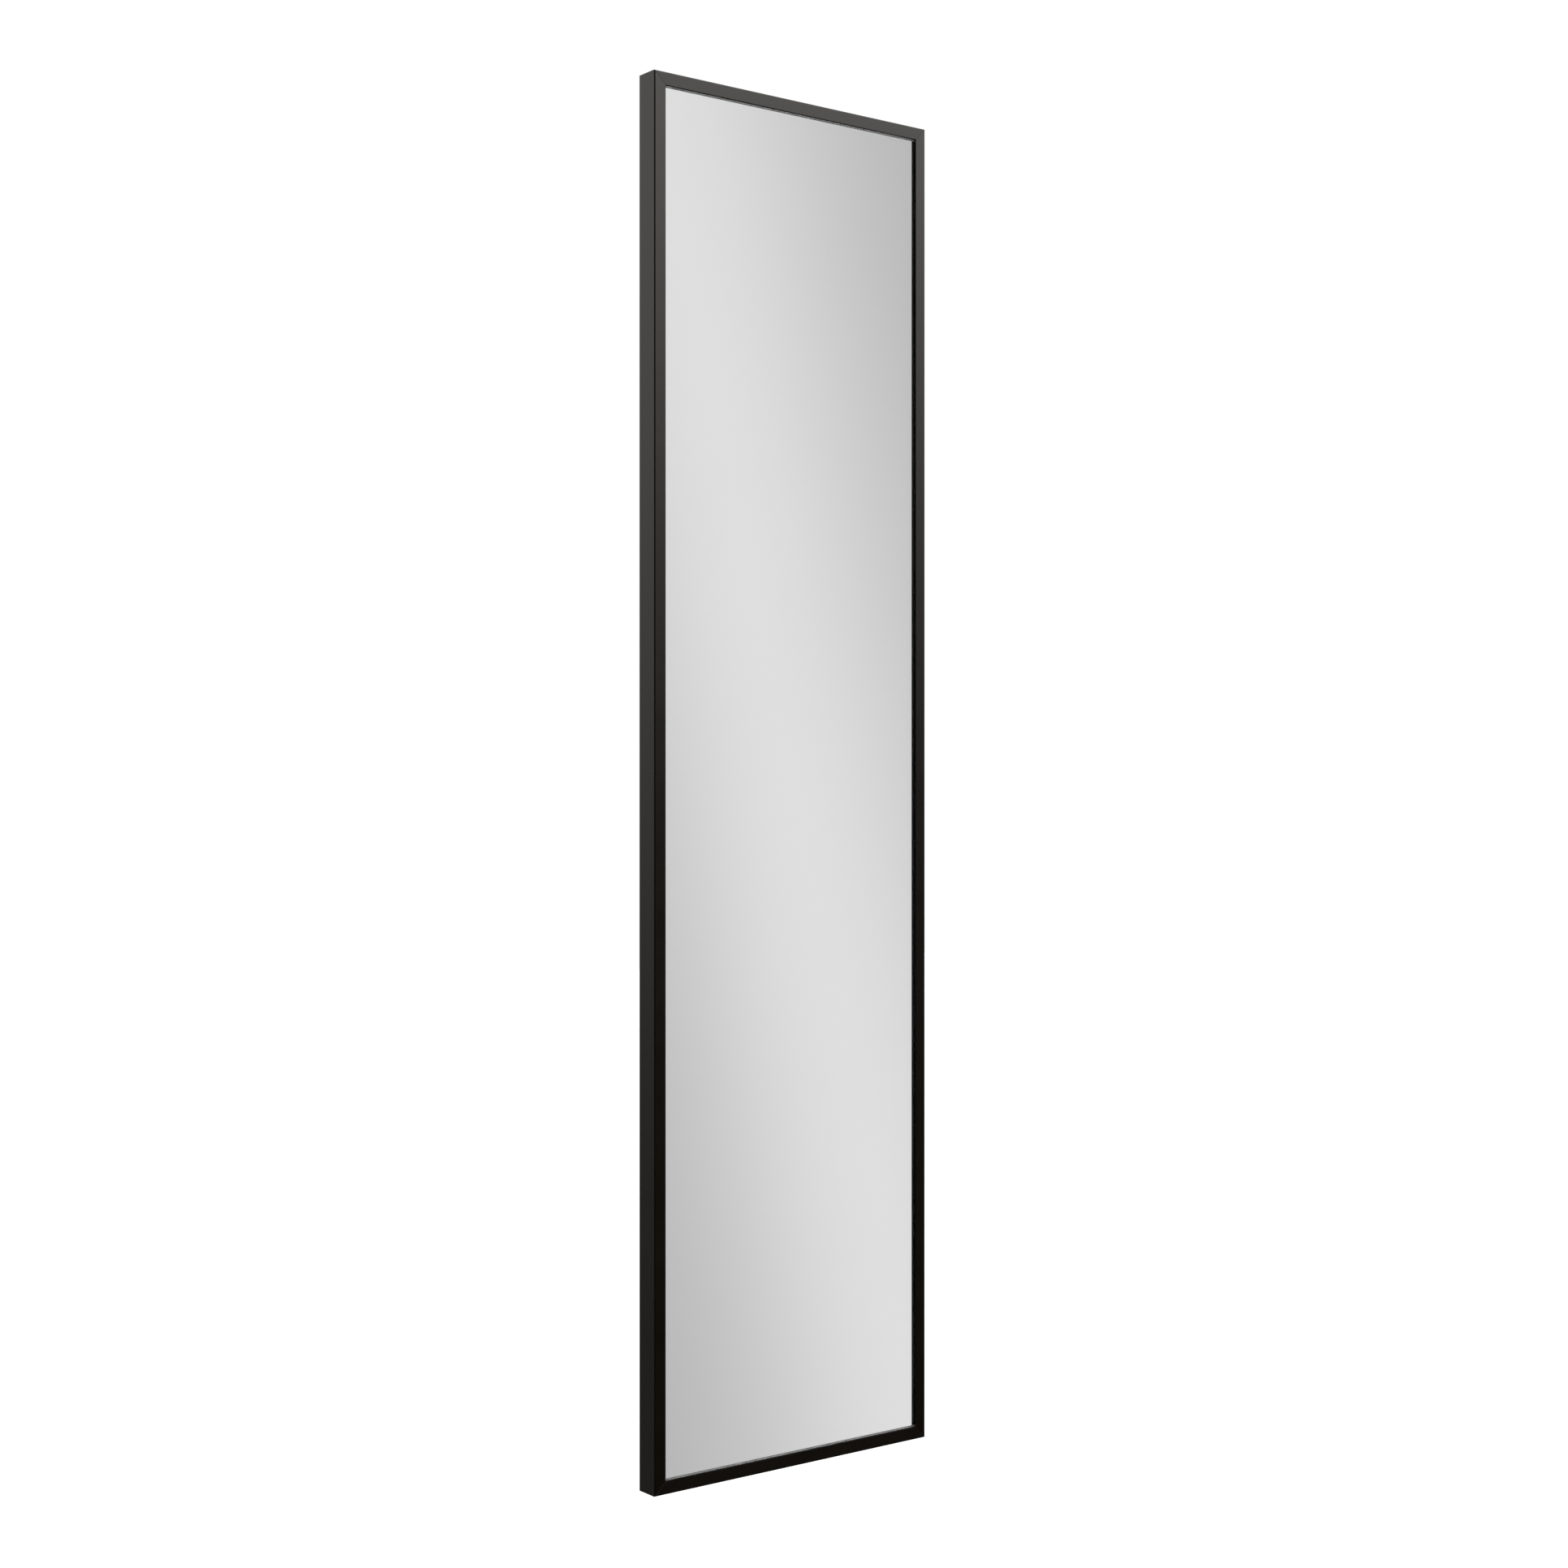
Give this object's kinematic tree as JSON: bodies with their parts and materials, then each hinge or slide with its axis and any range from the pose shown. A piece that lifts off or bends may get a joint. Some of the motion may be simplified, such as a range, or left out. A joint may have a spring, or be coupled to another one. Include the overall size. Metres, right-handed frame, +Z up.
{
  "type": "pull-out closet mirror",
  "caption": "Tall framed mirror that pulls out of a closet on two ball-bearing slides and turns on a vertical pivot near its leading edge.",
  "frame": {"origin": "centre of the wall plate's rear face, against the closet's side panel, at mid height of the mirror", "axes": "+Z up, +Y into the side panel, -X out of the closet; the glass faces -Y"},
  "size_m": [0.3048, 0.0462, 1.2192],
  "materials": {
    "frame_black": "satin black anodised",
    "mirror_silver": "clear silvered float glass",
    "backing_brown": "brown hardboard",
    "film_clear": "thin safety film",
    "tape_black": "black foam tape",
    "spring_steel": "spring steel strip",
    "key_zinc": "zinc plated",
    "screw_black": "black oxide",
    "nut_zinc": "zinc plated",
    "bracket_black": "black powder coat",
    "slide_zinc": "bright zinc plated",
    "ball_steel": "polished",
    "nylon": "moulded nylon",
    "bumper_rubber": "moulded rubber"
  },
  "bodies": {
    "wall_side": {"wall_plate": "bracket_black", "slide_rivets": "slide_zinc", "upper_outer_member": "slide_zinc", "upper_hold_in_catch": "nylon", "lower_outer_member": "slide_zinc", "lower_hold_in_catch": "nylon"},
    "carriage": {"upper_inner_member": "slide_zinc", "upper_pivot_bush": "nylon", "lower_inner_member": "slide_zinc", "lower_pivot_bush": "nylon", "carriage_plate": "bracket_black", "carriage_screws": "screw_black", "rubber_bumpers": "bumper_rubber"},
    "mirror": {"frame_stile_left": "frame_black", "frame_stile_right": "frame_black", "frame_rail_top": "frame_black", "frame_rail_bottom": "frame_black", "corner_key_bottom_left": "key_zinc", "corner_key_bottom_right": "key_zinc", "corner_key_top_left": "key_zinc", "corner_key_top_right": "key_zinc", "corner_key_screws": "screw_black", "glazing_tape": "tape_black", "mirror_glass": "mirror_silver", "safety_film": "film_clear", "backing_board": "backing_brown", "spring_clips": "spring_steel", "cross_bar_upper": "bracket_black", "cross_bar_lower": "bracket_black", "cross_bar_slot_nuts": "key_zinc", "cross_bar_screws": "screw_black", "hinge_plate": "bracket_black", "hinge_plate_screws": "screw_black", "upper_pivot_bolt": "screw_black", "upper_disc_spring": "spring_steel", "upper_lock_nut": "nut_zinc", "lower_pivot_bolt": "screw_black", "lower_disc_spring": "spring_steel", "lower_lock_nut": "nut_zinc"},
    "upper_middle": {"upper_middle_member": "slide_zinc"},
    "upper_outer_cage": {"upper_outer_cage": "slide_zinc", "upper_outer_balls": "ball_steel"},
    "upper_inner_cage": {"upper_inner_cage": "slide_zinc", "upper_inner_balls": "ball_steel"},
    "lower_middle": {"lower_middle_member": "slide_zinc"},
    "lower_outer_cage": {"lower_outer_cage": "slide_zinc", "lower_outer_balls": "ball_steel"},
    "lower_inner_cage": {"lower_inner_cage": "slide_zinc", "lower_inner_balls": "ball_steel"}
  },
  "joints": [
    {"name": "carriage_slide", "type": "slide", "parent": "wall_side", "child": "carriage", "axis": [-1, 0, 0], "range_m": [0, 0.25]},
    {"name": "mirror_pivot", "type": "hinge", "parent": "carriage", "child": "mirror", "pos_m": [-0.137, -0.0112, 0], "axis": [0, 0, -1], "range_deg": [0, 100]},
    {"name": "upper_middle_slide", "type": "slide", "parent": "wall_side", "child": "upper_middle", "axis": [-1, 0, 0], "range_m": [0, 0.125]},
    {"name": "upper_outer_cage_slide", "type": "slide", "parent": "wall_side", "child": "upper_outer_cage", "axis": [-1, 0, 0], "range_m": [0, 0.0625]},
    {"name": "upper_inner_cage_slide", "type": "slide", "parent": "wall_side", "child": "upper_inner_cage", "axis": [-1, 0, 0], "range_m": [0, 0.1875]},
    {"name": "lower_middle_slide", "type": "slide", "parent": "wall_side", "child": "lower_middle", "axis": [-1, 0, 0], "range_m": [0, 0.125]},
    {"name": "lower_outer_cage_slide", "type": "slide", "parent": "wall_side", "child": "lower_outer_cage", "axis": [-1, 0, 0], "range_m": [0, 0.0625]},
    {"name": "lower_inner_cage_slide", "type": "slide", "parent": "wall_side", "child": "lower_inner_cage", "axis": [-1, 0, 0], "range_m": [0, 0.1875]}
  ],
  "couplings": [
    {"joint": "upper_middle_slide", "follows": "carriage_slide", "ratio": 0.5},
    {"joint": "upper_outer_cage_slide", "follows": "carriage_slide", "ratio": 0.25},
    {"joint": "upper_inner_cage_slide", "follows": "carriage_slide", "ratio": 0.75},
    {"joint": "lower_middle_slide", "follows": "carriage_slide", "ratio": 0.5},
    {"joint": "lower_outer_cage_slide", "follows": "carriage_slide", "ratio": 0.25},
    {"joint": "lower_inner_cage_slide", "follows": "carriage_slide", "ratio": 0.75}
  ]
}
